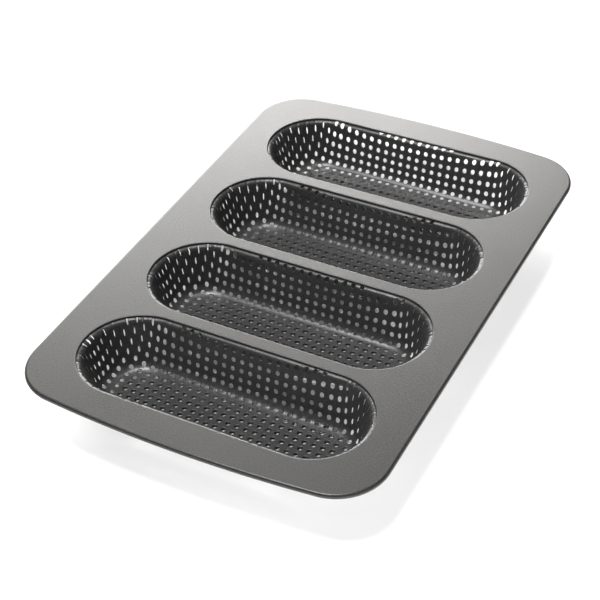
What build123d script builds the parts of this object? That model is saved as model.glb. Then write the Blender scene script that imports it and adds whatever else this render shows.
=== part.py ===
from build123d import *
import math
import os

# Baguette tray: a sheet-steel plate with a wired rolled rim and four perforated troughs,
# each locked into its opening by a folded seam. Millimetres, +Z up, X along the troughs,
# origin under the middle of the tray, on the plane that the trough floors rest on.

# ---------------------------------------------------------------- plate
PLATE_LENGTH = 380.0  # along Y, over the middle of the bowed ends
PLATE_WIDTH = 248.5  # along X
END_BOW = 8.0  # how far each short end bulges beyond its corners' line
CORNER_RADIUS = 34.5
PLATE_SHEET = 0.6

# ---------------------------------------------------------------- rolled rim
WIRE_DIAMETER = 2.4
WIRE_CLEARANCE = 0.05
CURL_ANGLE = 285.0  # how far the sheet wraps round the wire

# ---------------------------------------------------------------- troughs
TROUGHS = 4
TROUGH_PITCH = 85.3
OPENING_LENGTH = 200.5
OPENING_WIDTH = 75.4
TROUGH_SHEET = 0.5
TROUGH_DEPTH = 34.5  # from the plate's top face down to the trough's floor
FLOOR_WIDTH = 40.6  # flat part of the floor, between its fillets
FLOOR_FILLET = 8.0  # inside the trough
SHOULDER_RADIUS = 3.2  # inside the trough, where the wall turns out into the flange
SHOULDER_SETBACK = 0.3  # how far under the plate's edge the shoulder turns level

# ---------------------------------------------------------------- perforation
# The blank is punched flat in a square-set pattern and pressed afterwards.
HOLE_DIAMETER = 3.2
HOLE_PITCH_ALONG = 6.45
HOLE_PITCH_ACROSS = 5.95
MIDDLE_STRETCH = 0.07  # how much longer the wall grows than its blank, amid the long sides
JOIN_STRETCH = 0.34  # the same where the round ends begin
CORNER_STRETCH = 0.64  # the same halfway round each quarter turn
HOLE_SHARE = 0.9  # share of the sheet's stretch that the holes take up
HOLE_SQUEEZE = 1.2  # the same for its squeezing round the ends
OVALITY = 1.15  # a hole drawn less than this still counts as round

# ---------------------------------------------------------------- seam between plate and trough
SEAM_CLEARANCE = 0.05
SEAM_DEPTH = 2.2  # straight length of each folded leg

# ---------------------------------------------------------------- worked out from the above
TOP = TROUGH_DEPTH + TROUGH_SHEET  # height of the plate's top face
WIRE_RADIUS = WIRE_DIAMETER / 2
BEAD_INNER = WIRE_RADIUS + WIRE_CLEARANCE
BEAD_OUTER = BEAD_INNER + PLATE_SHEET
BEAD_Z = TOP - BEAD_OUTER

END_RADIUS = OPENING_WIDTH / 2
STRAIGHT = OPENING_LENGTH - OPENING_WIDTH  # length between the centres of a trough's round ends

HEM_INNER = TROUGH_SHEET / 2 + SEAM_CLEARANCE  # inside radius of the plate's fold
HEM_OUTER = HEM_INNER + PLATE_SHEET
HEM_X = END_RADIUS + HEM_OUTER  # centre of the plate's fold, from the trough's middle line
HEM_Z = TOP - HEM_OUTER
HEM_END = HEM_X + SEAM_DEPTH

LOCK_INNER = PLATE_SHEET / 2 + SEAM_CLEARANCE  # inside radius of the trough's fold
LOCK_OUTER = LOCK_INNER + TROUGH_SHEET
LOCK_X = HEM_END + SEAM_CLEARANCE
LOCK_Z = HEM_Z - HEM_INNER - PLATE_SHEET / 2
LOCK_END = HEM_X

FLANGE_TOP = LOCK_Z - LOCK_INNER  # upper face of the trough's flange
FLOOR_TOP = TROUGH_SHEET

# The trough's wall is the line that touches both its floor fillet and its shoulder.
SHOULDER_X = END_RADIUS + SHOULDER_SETBACK
SHOULDER_Z = FLANGE_TOP - SHOULDER_RADIUS
FILLET_X = FLOOR_WIDTH / 2
FILLET_Z = FLOOR_TOP + FLOOR_FILLET
span = math.hypot(SHOULDER_X - FILLET_X, SHOULDER_Z - FILLET_Z)
rise = math.atan2(SHOULDER_Z - FILLET_Z, SHOULDER_X - FILLET_X)
WALL_FLARE = math.degrees(math.acos((FLOOR_FILLET + SHOULDER_RADIUS) / span) - rise)  # from the vertical
WALL_LENGTH = math.sqrt(span**2 - (FLOOR_FILLET + SHOULDER_RADIUS) ** 2)

BEND = 90 - WALL_FLARE  # turn of the floor fillet, and of the shoulder back to level
FILLET_RUN = math.radians(BEND) * FLOOR_FILLET
SHOULDER_RUN = math.radians(BEND) * SHOULDER_RADIUS
WALL_RUN = FILLET_RUN + WALL_LENGTH + SHOULDER_RUN  # along the sheet, from floor to flange
PUNCH_START = 2 * TROUGH_SHEET  # above the sheet
PUNCH_TRAVEL = 5 * TROUGH_SHEET
LAST_HOLE_RUN = FILLET_X + WALL_RUN - HOLE_DIAMETER / 2
HOLE_ROWS = 2 * math.ceil(LAST_HOLE_RUN / HOLE_PITCH_ACROSS)
HOLE_COLUMNS = 2 * math.ceil((STRAIGHT / 2 + LAST_HOLE_RUN) / HOLE_PITCH_ALONG)

os.makedirs("parts", exist_ok=True)


def write(part, name):
    part.label = name
    export_step(part, f"parts/{name}.step", write_pcurves=False)


def folded_sheet(start, heading, runs, sheet):
    """Draw the cut end of a folded sheet: each run is a length, then a bend's radius and angle.

    The path and its radii are those of the sheet's left face, and a left bend is positive."""
    start = Vector(*start)
    left, right = start, start + Vector(sheet, 0).rotate(Axis.Z, heading - 90)
    Line(left, right)
    for length, radius, angle in runs:
        along = Vector(1, 0).rotate(Axis.Z, heading)
        if length:
            left, right = (Line(face, face + along * length) @ 1 for face in (left, right))
        if angle:
            far_radius = radius + sheet if angle > 0 else radius - sheet
            left, right = (
                JernArc(left, along, radius, angle) @ 1,
                JernArc(right, along, far_radius, angle) @ 1,
            )
            heading += angle
    Line(left, right)


def round_ended(section):
    """Carry a section, drawn on one side of a trough's middle plane, along its sides and round its ends."""
    with BuildPart() as ring:
        extrude(section, amount=STRAIGHT)
        revolve(section, axis=Axis((-STRAIGHT / 2, 0, 0), (0, 0, 1)), revolution_arc=180)
        add(ring.part, rotation=(0, 0, 180))
    return ring.part


def along_section(run):
    """Distance out, height and slope of the trough's upper face, that far from its middle line."""
    past_floor = max(run - FILLET_X, 0)
    fillet_turn = min(past_floor / FLOOR_FILLET, math.radians(BEND))
    straight = min(max(past_floor - FILLET_RUN, 0), WALL_LENGTH)
    shoulder_turn = max(past_floor - FILLET_RUN - WALL_LENGTH, 0) / SHOULDER_RADIUS
    slope = fillet_turn - shoulder_turn
    out = min(run, FILLET_X) + FLOOR_FILLET * math.sin(fillet_turn) + straight * math.cos(fillet_turn)
    up = FLOOR_TOP + FLOOR_FILLET * (1 - math.cos(fillet_turn)) + straight * math.sin(fillet_turn)
    out += SHOULDER_RADIUS * (math.sin(fillet_turn) - math.sin(slope))
    up += SHOULDER_RADIUS * (math.cos(slope) - math.cos(fillet_turn))
    return out, up, slope


def pressed(along, across):
    """Follow a point of the flat blank through the press, to its run up the section and its bearing."""
    past_straight = max(abs(along) - STRAIGHT / 2, 0)
    reach = math.hypot(past_straight, across)
    bearing = math.atan2(across, past_straight)
    if past_straight:
        stretch = JOIN_STRETCH + (CORNER_STRETCH - JOIN_STRETCH) * math.sin(2 * bearing) ** 2
    else:
        nearness = (abs(along) / (STRAIGHT / 2)) ** 2.5
        stretch = MIDDLE_STRETCH + (JOIN_STRETCH - MIDDLE_STRETCH) * nearness
    past_floor = max(reach - FILLET_X, 0)
    run = reach + stretch * past_floor**2 / WALL_RUN
    growth = 1 + 2 * stretch * past_floor / WALL_RUN
    squeeze = along_section(run)[0] / reach if past_straight and past_floor else 1
    return run, bearing, growth, squeeze


def punch_place(along, across):
    """Plane just above a hole of the blank once pressed, with the hole's length and width there."""
    run, bearing, growth, squeeze = pressed(along, across)
    out, up, slope = along_section(run)
    spine = Vector(math.copysign(min(abs(along), STRAIGHT / 2), along), 0, up)
    outward = Vector(math.copysign(math.cos(bearing), along), math.sin(bearing))
    uphill = outward * math.cos(slope) + Vector(0, 0, math.sin(slope))
    normal = outward * -math.sin(slope) + Vector(0, 0, math.cos(slope))
    length = HOLE_DIAMETER + HOLE_SHARE * (growth - 1) * HOLE_PITCH_ACROSS
    width = HOLE_DIAMETER - HOLE_SQUEEZE * (1 - squeeze) * HOLE_PITCH_ACROSS
    return Plane(spine + outward * out + normal * PUNCH_START, x_dir=uphill, z_dir=normal), length, width


def plate_outline():
    """The plate's edge, inset to the middle of its rolled rim, as lines and arcs that run smoothly on."""
    half_width = PLATE_WIDTH / 2 - BEAD_OUTER
    half_length = PLATE_LENGTH / 2 - BEAD_OUTER
    corner = CORNER_RADIUS - BEAD_OUTER
    end_radius = ((PLATE_WIDTH / 2) ** 2 + END_BOW**2) / (2 * END_BOW) - BEAD_OUTER
    end_centre = half_length - end_radius
    corner_x = half_width - corner
    corner_y = end_centre + math.sqrt((end_radius - corner) ** 2 - corner_x**2)
    sweep_angle = math.degrees(math.atan2(corner_y - end_centre, corner_x))
    with BuildLine() as outline:
        Line((half_width, 0), (half_width, corner_y))
        CenterArc((corner_x, corner_y), corner, 0, sweep_angle)
        CenterArc((0, end_centre), end_radius, sweep_angle, 180 - 2 * sweep_angle)
        CenterArc((-corner_x, corner_y), corner, 180 - sweep_angle, sweep_angle)
        Line((-half_width, corner_y), (-half_width, 0))
        mirror(about=Plane.XZ)
    return outline


outline = plate_outline()
SECTION_PLANE = Plane.YZ.offset(-STRAIGHT / 2)  # where a trough's straight side meets its round end
trough_places = GridLocations(0, TROUGH_PITCH, 1, TROUGHS).locations

# ---------------------------------------------------------------- frame plate
with BuildSketch(SECTION_PLANE) as hem_section:
    with BuildLine():
        folded_sheet(
            (HEM_X, TOP - PLATE_SHEET), 180, [(0, HEM_INNER, 180), (SEAM_DEPTH, 0, 0)], PLATE_SHEET
        )
    make_face()
hem = round_ended(hem_section.sketch)

with BuildPart() as frame_plate:
    with BuildSketch(Plane.XY.offset(TOP - PLATE_SHEET)):
        with BuildLine():
            add(outline.line)
        make_face()
        with Locations(trough_places):
            SlotOverall(STRAIGHT + 2 * HEM_X, 2 * HEM_X, mode=Mode.SUBTRACT)
    extrude(amount=PLATE_SHEET)
    with BuildSketch(Plane.XZ):
        with BuildLine():
            bead_edge = (PLATE_WIDTH / 2 - BEAD_OUTER, TOP)
            folded_sheet(bead_edge, 0, [(0, BEAD_OUTER, -CURL_ANGLE)], PLATE_SHEET)
        make_face()
    sweep(path=outline.line)
    with Locations(trough_places):
        add(hem)
write(frame_plate.part, "frame_plate")

# ---------------------------------------------------------------- rim wire
with BuildPart() as rim_wire:
    with BuildSketch(Plane.XZ):
        with Locations((PLATE_WIDTH / 2 - BEAD_OUTER, BEAD_Z)):
            Circle(WIRE_RADIUS)
    sweep(path=outline.line)
write(rim_wire.part, "rim_wire")

# ---------------------------------------------------------------- troughs
with BuildSketch(SECTION_PLANE) as trough_section:
    with BuildLine():
        folded_sheet(
            (0, FLOOR_TOP),
            0,
            [
                (FLOOR_WIDTH / 2, FLOOR_FILLET, 90 - WALL_FLARE),
                (WALL_LENGTH, SHOULDER_RADIUS, WALL_FLARE - 90),
                (LOCK_X - SHOULDER_X, LOCK_INNER, 180),
                (LOCK_X - LOCK_END, 0, 0),
            ],
            TROUGH_SHEET,
        )
    make_face()
with BuildPart() as pressing:
    add(round_ended(trough_section.sketch))
    for hole in GridLocations(HOLE_PITCH_ALONG, HOLE_PITCH_ACROSS, HOLE_COLUMNS, HOLE_ROWS):
        along, across = hole.position.X, hole.position.Y
        if pressed(along, across)[0] < LAST_HOLE_RUN:
            place, length, width = punch_place(along, across)
            with BuildSketch(place):
                if length > OVALITY * width:
                    Ellipse(length / 2, width / 2)
                else:
                    Circle((length + width) / 4)
    extrude(amount=-PUNCH_TRAVEL, mode=Mode.SUBTRACT)
for number, place in enumerate(trough_places, 1):
    with BuildPart() as trough:
        with Locations(place):
            add(pressing.part)
    write(trough.part, f"trough_{number}")
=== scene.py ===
from collections import Counter
import math

import bmesh
import bpy
from mathutils import Matrix, Vector


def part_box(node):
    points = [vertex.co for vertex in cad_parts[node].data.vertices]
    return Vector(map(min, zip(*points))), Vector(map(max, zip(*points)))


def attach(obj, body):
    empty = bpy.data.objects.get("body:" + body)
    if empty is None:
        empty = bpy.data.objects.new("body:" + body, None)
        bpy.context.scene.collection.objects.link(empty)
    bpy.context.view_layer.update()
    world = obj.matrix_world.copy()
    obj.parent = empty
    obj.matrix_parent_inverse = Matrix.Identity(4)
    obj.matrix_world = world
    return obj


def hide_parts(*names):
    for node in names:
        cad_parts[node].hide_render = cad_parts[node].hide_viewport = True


# Baguette tray: a coated sheet-steel plate with a wired rolled rim and four perforated troughs.
# Metres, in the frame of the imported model: +X along the troughs, +Z up, the rest plane at zero.

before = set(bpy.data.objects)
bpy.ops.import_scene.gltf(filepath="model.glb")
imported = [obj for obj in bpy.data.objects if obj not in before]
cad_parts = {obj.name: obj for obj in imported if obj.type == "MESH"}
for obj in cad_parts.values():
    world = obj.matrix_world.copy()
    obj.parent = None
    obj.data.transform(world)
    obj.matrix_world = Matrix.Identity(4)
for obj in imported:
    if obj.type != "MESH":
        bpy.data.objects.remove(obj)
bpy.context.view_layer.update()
MM = 0.001

# ---------------------------------------------------------------- plate
# One pressed steel sheet with a satin non-stick coating. Its outer edge is rolled under round a wire, and
# the edge of each opening is folded down and back to lock a trough.
plate_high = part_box("frame_plate")[1]
TOP = plate_high.z  # upper face of the plate
PLATE_SHEET = 0.6 * MM
TROUGH_SHEET = 0.5 * MM  # the fold leaves room for it
CLEARANCE = 0.05 * MM
WIRE_RADIUS = 1.2 * MM
BEAD = WIRE_RADIUS + CLEARANCE + PLATE_SHEET  # outer radius of the rolled rim
BEAD_TURN = 285  # degrees that the sheet wraps round the wire
CORNER = 34.5 * MM
END_BOW = 8.0 * MM
OPENING_LENGTH = 200.5 * MM
OPENING_WIDTH = 75.4 * MM
ROUND_END = (OPENING_LENGTH - OPENING_WIDTH) / 2  # from a trough's middle to the centre of its round ends
FOLD_RADIUS = TROUGH_SHEET / 2 + CLEARANCE + PLATE_SHEET
FOLD = OPENING_WIDTH / 2 + FOLD_RADIUS  # from a trough's middle line to the centre of the plate's fold
SEAM_DEPTH = 2.2 * MM
LEVEL_STEP = 0.01 * MM  # kept level before a fold, so that the shading of the flat sheet stays flat
ROUND_STEPS = 64  # steps round each end of an opening
UP = Vector((0, 0, 1))
trough_names = sorted(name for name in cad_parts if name.startswith("trough"))
trough_middles = {}
for name in trough_names:
    low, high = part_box(name)
    trough_middles[name] = (low.y + high.y) / 2


class Socket:
    """A shader value that Python's operators can work on: each one adds a math node."""

    def __init__(self, material, socket):
        self.material = material
        self.socket = socket

    def maths(self, operation, first, second):
        return self.material.node(
            "ShaderNodeMath", {"operation": operation}, {0: first, 1: second}, "Value"
        )

    def __add__(self, other):
        return self.maths("ADD", self, other)

    def __radd__(self, other):
        return self.maths("ADD", other, self)

    def __sub__(self, other):
        return self.maths("SUBTRACT", self, other)

    def __rsub__(self, other):
        return self.maths("SUBTRACT", other, self)

    def __mul__(self, other):
        return self.maths("MULTIPLY", self, other)

    def __rmul__(self, other):
        return self.maths("MULTIPLY", other, self)


class Material:
    """A node-based material: node() adds one node with its settings and inputs and returns an output."""

    def __init__(self, name):
        self.data = bpy.data.materials.new(name)
        self.data.use_nodes = True
        self.tree = self.data.node_tree
        self.tree.nodes.clear()

    def node(self, kind, settings=None, inputs=None, output=0):
        made = self.tree.nodes.new(kind)
        for name, value in (settings or {}).items():
            setattr(made, name, value)
        for name, value in (inputs or {}).items():
            if isinstance(value, Socket):
                self.tree.links.new(value.socket, made.inputs[name])
            else:
                made.inputs[name].default_value = value
        return Socket(self, made.outputs[output]) if made.outputs else made

    def finish(self, shader):
        self.node("ShaderNodeOutputMaterial", None, {"Surface": shader})
        return self.data


def coated_steel(name, shade, roughness):
    """Satin non-stick coating: fine speckle, faint clouding and a grain too fine to feel."""
    material = Material(name)
    place = material.node("ShaderNodeTexCoord", output="Object")
    grain = material.node(
        "ShaderNodeTexNoise", None, {"Vector": place, "Scale": 1000.0, "Detail": 2.0}, "Fac"
    )
    cloud = material.node(
        "ShaderNodeTexNoise", None, {"Vector": place, "Scale": 14.0, "Detail": 3.0}, "Fac"
    )
    level = 1 + 1.6 * (grain - 0.5) + 0.12 * (cloud - 0.5)
    color = material.node(
        "ShaderNodeMix",
        {"data_type": "RGBA", "blend_type": "MULTIPLY"},
        {"Factor": 1.0, "A": (*shade, 1), "B": level},
        2,
    )
    bump = material.node(
        "ShaderNodeBump", None, {"Strength": 0.6, "Distance": 0.2 * MM, "Height": grain}, "Normal"
    )
    shader = material.node(
        "ShaderNodeBsdfPrincipled",
        None,
        {
            "Base Color": color,
            "Metallic": 0.0,
            "IOR": 1.6,
            "Roughness": roughness + 0.08 * (cloud - 0.5),
            "Normal": bump,
        },
    )
    return material.finish(shader)


def half_turn_outline(mesh, centre, start, arcs):
    """Spin a point through the arcs of half an outline, turn a copy half round, and join the two halves."""
    others = set(mesh.verts)
    last = first = mesh.verts.new(start)
    for arc_centre, angle, steps in arcs:
        spun = bmesh.ops.spin(
            mesh, geom=[last], cent=arc_centre, axis=UP, angle=angle, steps=steps, use_duplicate=False
        )
        last = spun["geom_last"][0]
    half = [vert for vert in mesh.verts if vert not in others]
    edges = list({edge for vert in half for edge in vert.link_edges})
    copied = bmesh.ops.duplicate(mesh, geom=half + edges)
    turned = [item for item in copied["geom"] if isinstance(item, bmesh.types.BMVert)]
    bmesh.ops.rotate(mesh, verts=turned, cent=centre, matrix=Matrix.Rotation(math.pi, 3, "Z"))
    twin = copied["vert_map"]
    joins = [mesh.edges.new((last, twin[first])), mesh.edges.new((twin[last], first))]
    return edges + [item for item in copied["geom"] if isinstance(item, bmesh.types.BMEdge)] + joins


def fold_edge(mesh, edges, centre, section):
    """Carry a closed edge through a fold: each step of the section is a distance out from it and a rise."""
    home = mesh.verts.layers.float_vector.get("home") or mesh.verts.layers.float_vector.new("home")
    way = mesh.verts.layers.float_vector.get("way") or mesh.verts.layers.float_vector.new("way")
    chosen = set(edges)
    for vert in {vert for edge in edges for vert in edge.verts}:
        first, second = (edge.other_vert(vert).co - vert.co for edge in vert.link_edges if edge in chosen)
        out = (first.normalized() - second.normalized()).cross(UP).normalized()
        vert[home] = vert.co
        vert[way] = out if out.dot(vert.co - centre) > 0 else -out
    for out, rise in section:
        grown = bmesh.ops.extrude_edge_only(mesh, edges=edges)["geom"]
        edges = [item for item in grown if isinstance(item, bmesh.types.BMEdge)]
        edges = [edge for edge in edges if len(edge.link_faces) == 1]
        for vert in (item for item in grown if isinstance(item, bmesh.types.BMVert)):
            vert.co = vert[home] + vert[way] * out + UP * rise


def arc_section(radius, turn, steps, out=1):
    """Steps of a bend that starts level and turns down over that many degrees."""
    angles = (math.radians(turn) * step / steps for step in range(1, steps + 1))
    return [(out * radius * math.sin(angle), radius * math.cos(angle) - radius) for angle in angles]


def sheet_piece(mesh, name, thickness, coating, nodes):
    """Turn a bent surface into coated sheet metal that rides on the tray in place of its CAD nodes.

    The surface is turned until its largest face looks up, and the sheet's thickness lies below that face.
    A trough's largest face is the folded-back leg of its seam, so its thickness lies above its floor.
    """
    bmesh.ops.recalc_face_normals(mesh, faces=mesh.faces)
    largest = max(mesh.faces, key=lambda face: face.calc_area())
    if largest.normal.z < 0:
        bmesh.ops.reverse_faces(mesh, faces=mesh.faces)
    for face in mesh.faces:
        face.smooth = True
    data = bpy.data.meshes.new(name)
    mesh.to_mesh(data)
    mesh.free()
    data.materials.append(coating)
    piece = bpy.data.objects.new(name, data)
    bpy.context.scene.collection.objects.link(piece)
    solid = piece.modifiers.new("sheet", "SOLIDIFY")
    solid.thickness = thickness
    solid.offset = -1
    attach(piece, "root")
    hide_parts(*nodes)


half_width = plate_high.x - BEAD
half_length = plate_high.y - BEAD
end_radius = (plate_high.x**2 + END_BOW**2) / (2 * END_BOW) - BEAD
end_centre = half_length - end_radius
corner_x = half_width - (CORNER - BEAD)
corner_y = end_centre + math.sqrt((end_radius - CORNER + BEAD) ** 2 - corner_x**2)
corner_turn = math.atan2(corner_y - end_centre, corner_x)
mesh = bmesh.new()
middle = Vector((0, 0, TOP))
outline = half_turn_outline(
    mesh,
    middle,
    (half_width, corner_y, TOP),
    [
        ((corner_x, corner_y, TOP), corner_turn, 28),
        ((0, end_centre, TOP), math.pi - 2 * corner_turn, 40),
        ((-corner_x, corner_y, TOP), corner_turn, 28),
    ],
)
openings = []
for name in trough_names:
    centre = Vector((0, trough_middles[name], TOP))
    start = centre + Vector((ROUND_END, -FOLD, 0))
    round_end = (centre + Vector((ROUND_END, 0, 0)), math.pi, ROUND_STEPS)
    openings.append((half_turn_outline(mesh, centre, start, [round_end]), centre))
edges = outline + [edge for opening, _ in openings for edge in opening]
bmesh.ops.triangle_fill(mesh, use_beauty=True, edges=edges, normal=UP)
fold_edge(mesh, outline, middle, [(LEVEL_STEP, 0)] + arc_section(BEAD, BEAD_TURN, 26))
hem = [(-LEVEL_STEP, 0)] + arc_section(FOLD_RADIUS, 180, 14, -1) + [(SEAM_DEPTH, -2 * FOLD_RADIUS)]
for opening, centre in openings:
    fold_edge(mesh, opening, centre, hem)
plate_coating = coated_steel("plate_coating", (0.049, 0.0475, 0.046), 0.35)
sheet_piece(mesh, "plate_sheet", PLATE_SHEET, plate_coating, ["frame_plate"])

# ---------------------------------------------------------------- rim wire
# Plain drawn steel wire with fine draw marks, closed inside the rolled rim. Its solid is shown as it is, and
# only gets its finish here.
drawn_steel = Material("wire_steel")
place = drawn_steel.node("ShaderNodeTexCoord", output="Object")
marks = drawn_steel.node("ShaderNodeTexNoise", None, {"Vector": place, "Scale": 900.0}, "Fac")
steel = {"Base Color": (0.42, 0.41, 0.4, 1), "Metallic": 1.0, "Roughness": 0.3 + 0.2 * marks}
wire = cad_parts["rim_wire"].data
wire.materials.clear()
wire.materials.append(drawn_steel.finish(drawn_steel.node("ShaderNodeBsdfPrincipled", None, steel)))

# ---------------------------------------------------------------- troughs
# Each is a blank of coated perforated sheet, pressed to a round-ended trough. The punching is square-set
# in the flat blank; the press draws it up the walls, so the rows spread and the holes lengthen at the ends.
PITCH_ALONG = 6.36 * MM
PITCH_ACROSS = 5.934 * MM
HOLE = 3.2 * MM
NARROWEST = 1.0 * MM  # width that no hole is squeezed below
FLANGE_MARGIN = 0.75 * MM  # sheet left between the last holes and the seam
MIDDLE_STRETCH = 0.07  # how much longer the wall grows than its blank, amid the long sides
JOIN_STRETCH = 0.34  # the same where the round ends begin
CORNER_STRETCH = 0.64  # the same halfway round each quarter turn
HOLE_SHARE = 0.48  # share of the stretch that the holes take up
END_SQUEEZE = 0.9  # how much a hole narrows with the sheet at the tip of a round end
CORNER_SQUEEZE = 1.7  # the same, added halfway round each quarter turn
FLOOR_HALF = 20.3 * MM
FLOOR_LEVEL = TROUGH_SHEET  # of the pressed face, which the sheet's thickness lies on top of
FILLET = 8.0 * MM
SHOULDER = 3.2 * MM
SHOULDER_X = OPENING_WIDTH / 2 + 0.3 * MM  # where the shoulder turns level, a little under the plate
LOCK = FOLD + SEAM_DEPTH + CLEARANCE  # from a trough's middle line to the centre of its own fold
LOCK_RADIUS = PLATE_SHEET / 2 + CLEARANCE
FLANGE_LEVEL = TOP - 2 * FOLD_RADIUS - CLEARANCE
shoulder_rise = FLANGE_LEVEL - SHOULDER - FLOOR_LEVEL - FILLET
span = math.hypot(SHOULDER_X - FLOOR_HALF, shoulder_rise)
climb = math.atan2(shoulder_rise, SHOULDER_X - FLOOR_HALF)
BEND = math.pi / 2 - math.acos((FILLET + SHOULDER) / span) + climb  # turn of the floor fillet
WALL = math.sqrt(span**2 - (FILLET + SHOULDER) ** 2)
WALL_RUN = BEND * FILLET + WALL + BEND * SHOULDER
SHOULDER_RUN = FLOOR_HALF + WALL_RUN - BEND * SHOULDER  # along the sheet, from its middle to the shoulder
FLANGE_RUN = FLOOR_HALF + WALL_RUN + LOCK - SHOULDER_X


def along_section(run):
    """Distance out and height of the pressed face, that far along it from the trough's middle line."""
    past_floor = min(max(run - FLOOR_HALF, 0), WALL_RUN)
    level = run - FLOOR_HALF - past_floor
    fillet_turn = min(past_floor / FILLET, BEND)
    straight = min(max(past_floor - BEND * FILLET, 0), WALL)
    slope = fillet_turn - max(past_floor - BEND * FILLET - WALL, 0) / SHOULDER
    out = FLOOR_HALF + level + FILLET * math.sin(fillet_turn) + straight * math.cos(fillet_turn)
    up = FLOOR_LEVEL + FILLET * (1 - math.cos(fillet_turn)) + straight * math.sin(fillet_turn)
    out += SHOULDER * (math.sin(fillet_turn) - math.sin(slope))
    up += SHOULDER * (math.cos(slope) - math.cos(fillet_turn))
    return out, up


def pressed(along, across):
    """Follow a point of the flat blank through the press: its run up the section, bearing and stretches."""
    past_straight = max(abs(along) - ROUND_END, 0)
    reach = math.hypot(past_straight, across)
    bearing = math.atan2(across, past_straight)
    if past_straight:
        stretch = JOIN_STRETCH + (CORNER_STRETCH - JOIN_STRETCH) * math.sin(2 * bearing) ** 2
    else:
        nearness = (abs(along) / ROUND_END) ** 2.5
        stretch = MIDDLE_STRETCH + (JOIN_STRETCH - MIDDLE_STRETCH) * nearness
    past_floor = max(reach - FLOOR_HALF, 0)
    run = reach + stretch * past_floor**2 / WALL_RUN
    growth = 1 + 2 * stretch * past_floor / WALL_RUN
    squeeze = along_section(run)[0] / reach if past_straight and past_floor else 1
    return run, bearing, growth, squeeze


def hole_shape(middle):
    """How far up the section a hole of the blank reaches once pressed, its uphill way and its two radii."""
    run, bearing, growth, squeeze = pressed(middle.x, middle.y)
    uphill = Vector((math.copysign(math.cos(bearing), middle.x), math.sin(bearing), 0))
    half_length = (HOLE + HOLE_SHARE * (growth - 1) * PITCH_ACROSS) / 2
    round_the_end = END_SQUEEZE * math.cos(bearing) + CORNER_SQUEEZE * abs(math.sin(2 * bearing))
    pinching = (1 - squeeze) * round_the_end
    half_width = max(HOLE - pinching * PITCH_ACROSS, NARROWEST) / 2
    return run + half_length, uphill, half_length / growth, half_width / squeeze


def shape_ring(cell, scale):
    """Move an inset cell's corners to the outline of its hole, or of a larger oval round it."""
    middle = cell.calc_center_bounds()
    _, uphill, half_length, half_width = hole_shape(middle)
    for vert in cell.verts:
        spoke = (vert.co - middle).normalized()
        lengthwise = spoke.dot(uphill) * uphill
        vert.co = middle + scale * (lengthwise * half_length + (spoke - lengthwise) * half_width)


def pressed_trough(middle_y, register_along, register_across):
    """A perforated blank, punched with its pattern off centre by the register, and pressed."""
    columns = 2 * math.ceil((ROUND_END + FLANGE_RUN) / PITCH_ALONG) + 2
    rows = 2 * math.ceil(FLANGE_RUN / PITCH_ACROSS) + 2
    mesh = bmesh.new()
    bmesh.ops.create_grid(mesh, x_segments=columns, y_segments=rows, size=0.5)
    size = (columns * PITCH_ALONG, rows * PITCH_ACROSS, 1)
    bmesh.ops.scale(mesh, vec=size, verts=mesh.verts)
    shift = (register_along + PITCH_ALONG / 2, register_across + PITCH_ACROSS / 2, 0)
    bmesh.ops.translate(mesh, vec=shift, verts=mesh.verts)
    bmesh.ops.subdivide_edges(mesh, edges=mesh.edges, cuts=4)
    cells = list(mesh.faces)
    last = FLANGE_RUN - FLANGE_MARGIN
    punched = {cell for cell in cells if hole_shape(cell.calc_center_bounds())[0] < last}
    for inset, scale in ((0.6 * MM, 1.3), (0.1 * MM, 1)):
        bmesh.ops.inset_individual(mesh, faces=cells, thickness=inset)
        for cell in punched:
            shape_ring(cell, scale)
    for cell in punched:
        for edge in cell.edges:
            edge.seam = True
    poked = bmesh.ops.poke(mesh, faces=[cell for cell in cells if cell not in punched])["faces"]
    edges = list({edge for face in poked for edge in face.edges})
    bmesh.ops.subdivide_edges(mesh, edges=edges, cuts=2, use_grid_fill=True)
    bmesh.ops.delete(mesh, geom=list(punched), context="FACES_ONLY")
    top = FLOOR_HALF + WALL_RUN
    bent = {vert for vert in mesh.verts if SHOULDER_RUN < pressed(vert.co.x, vert.co.y)[0] < top}
    edges = [edge for edge in mesh.edges if bent.issuperset(edge.verts) and not edge.seam]
    bmesh.ops.subdivide_edges(mesh, edges=edges, cuts=1, use_grid_fill=True)
    for vert in mesh.verts:
        run, bearing, _, _ = pressed(vert.co.x, vert.co.y)
        out, up = along_section(run)
        spine = math.copysign(min(abs(vert.co.x), ROUND_END), vert.co.x)
        end = math.copysign(1, vert.co.x)
        vert.co = (spine + end * out * math.cos(bearing), middle_y + out * math.sin(bearing), up)
    return mesh


def finish_flange(mesh, middle_y):
    """Cut the level flange back to whole cells, fill out to a clean round-ended edge, and return it."""

    def reach(vert):
        return math.hypot(max(abs(vert.co.x) - ROUND_END, 0), vert.co.y - middle_y)

    blank = {face for face in mesh.faces if not any(edge.seam for edge in face.edges)}
    past = [face for face in blank if max(map(reach, face.verts)) > LOCK - 0.2 * MM]
    while past:
        blank.difference_update(past)
        bmesh.ops.delete(mesh, geom=past, context="FACES")
        ragged = [edge for edge in mesh.edges if edge.is_boundary and not edge.seam]
        ends = Counter(vert for edge in ragged for vert in edge.verts)
        pinched = [vert for vert, count in ends.items() if count > 2]
        past = list(blank.intersection(face for vert in pinched for face in vert.link_faces))
    middle = Vector((0, middle_y, FLANGE_LEVEL))
    start = (ROUND_END, middle_y - LOCK, FLANGE_LEVEL)
    round_end = ((ROUND_END, middle_y, FLANGE_LEVEL), math.pi, ROUND_STEPS)
    clean = half_turn_outline(mesh, middle, start, [round_end])
    bmesh.ops.triangle_fill(mesh, use_beauty=True, edges=ragged + clean, normal=UP)
    return clean


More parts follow.
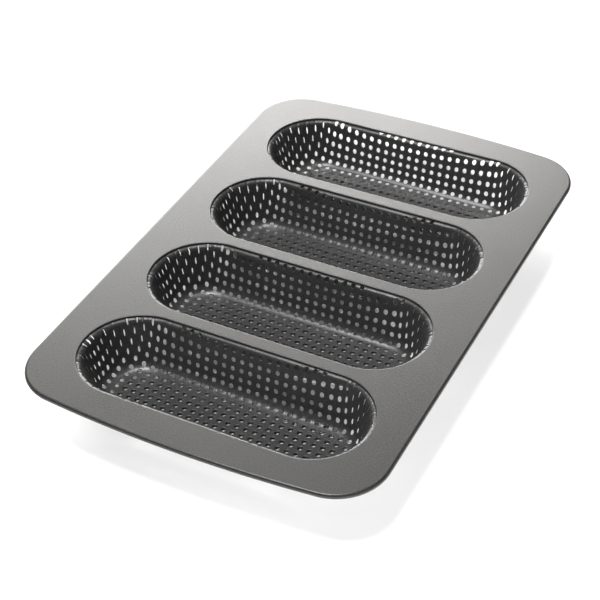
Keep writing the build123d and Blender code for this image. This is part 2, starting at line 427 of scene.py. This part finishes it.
# The troughs carry the plate's coating made lighter: painted fill light that lifts the shade inside the
# troughs.
trough_coating_painted_fill = coated_steel("trough_coating_painted_fill", (0.063, 0.063, 0.063), 0.34)
lock = [(out, -drop) for out, drop in arc_section(LOCK_RADIUS, 180, 10)]
lock.append((FOLD - LOCK, 2 * LOCK_RADIUS))
registers = [(1.6, -0.2), (-0.85, 1.8), (-0.5, -0.2), (3.55, -2.7)]  # millimetres
for name, (along, across) in zip(trough_names, registers):
    mesh = pressed_trough(trough_middles[name], along * MM, across * MM)
    rim = finish_flange(mesh, trough_middles[name])
    fold_edge(mesh, rim, Vector((0, trough_middles[name], TOP)), lock)
    sheet_piece(mesh, f"{name}_pressing", TROUGH_SHEET, trough_coating_painted_fill, [name])

# ---------------------------------------------------------------- floor
# A plain pale studio floor. It lies a little below the tray's rest plane, so that light reaches under the
# holes of the trough floors.
mesh = bmesh.new()
bmesh.ops.create_grid(mesh, x_segments=1, y_segments=1, size=6)
bmesh.ops.translate(mesh, vec=(0, 0, -1 * MM), verts=mesh.verts)
floor_data = bpy.data.meshes.new("floor")
mesh.to_mesh(floor_data)
mesh.free()
pale = Material("pale_floor")
matt = {"Base Color": (0.63, 0.63, 0.63, 1), "Roughness": 0.9}
floor_data.materials.append(pale.finish(pale.node("ShaderNodeBsdfPrincipled", None, matt)))
floor = bpy.data.objects.new("floor", floor_data)
bpy.context.scene.collection.objects.link(floor)

# ---------------------------------------------------------------- light
# One low soft panel behind the tray, a small one overhead, and a lamp for the floor alone that keeps it
# white. The world adds only a faint fill.
world = bpy.data.worlds.new("studio")
bpy.context.scene.world = world
world.use_nodes = True
world.node_tree.nodes["Background"].inputs["Strength"].default_value = 0.1


def soft_panel(name, place, aim, width, height, power):
    """A rectangular area lamp at a place, turned to face its aim."""
    lamp = bpy.data.lights.new(name, "AREA")
    lamp.shape = "RECTANGLE"
    lamp.size = width
    lamp.size_y = height
    lamp.energy = power
    panel = bpy.data.objects.new(name, lamp)
    bpy.context.scene.collection.objects.link(panel)
    panel.location = place
    panel.rotation_euler = (Vector(aim) - Vector(place)).to_track_quat("-Z", "Y").to_euler()
    return panel


soft_panel("overhead", (-0.35, -0.1, 2.2), (0, 0, 0), 0.5, 0.5, 40)
behind = soft_panel("behind", (-1.3, 2.05, 0.96), (0, 0, 0.03), 1.9, 0.9, 80)
behind.data.color = (1, 0.99, 0.975)
floor_lamp = soft_panel("floor_lamp", (1.75, -1.75, 0.9), (0, 0, 0), 2.6, 0.6, 260)
lit = bpy.data.collections.new("lit_floor")
lit.objects.link(floor)
floor_lamp.light_linking.receiver_collection = lit

# ---------------------------------------------------------------- camera
# A long lens, seen from above the tray's front right corner.
lens = bpy.data.cameras.new("camera")
lens.lens = 90.64
camera = bpy.data.objects.new("camera", lens)
bpy.context.scene.collection.objects.link(camera)
camera.location = (0.37279, -0.70219, TOP + 0.6312)
camera.rotation_euler = (math.radians(50.24), math.radians(1.904), math.radians(27.225))
bpy.context.scene.camera = camera
bpy.context.scene.view_settings.view_transform = "Standard"
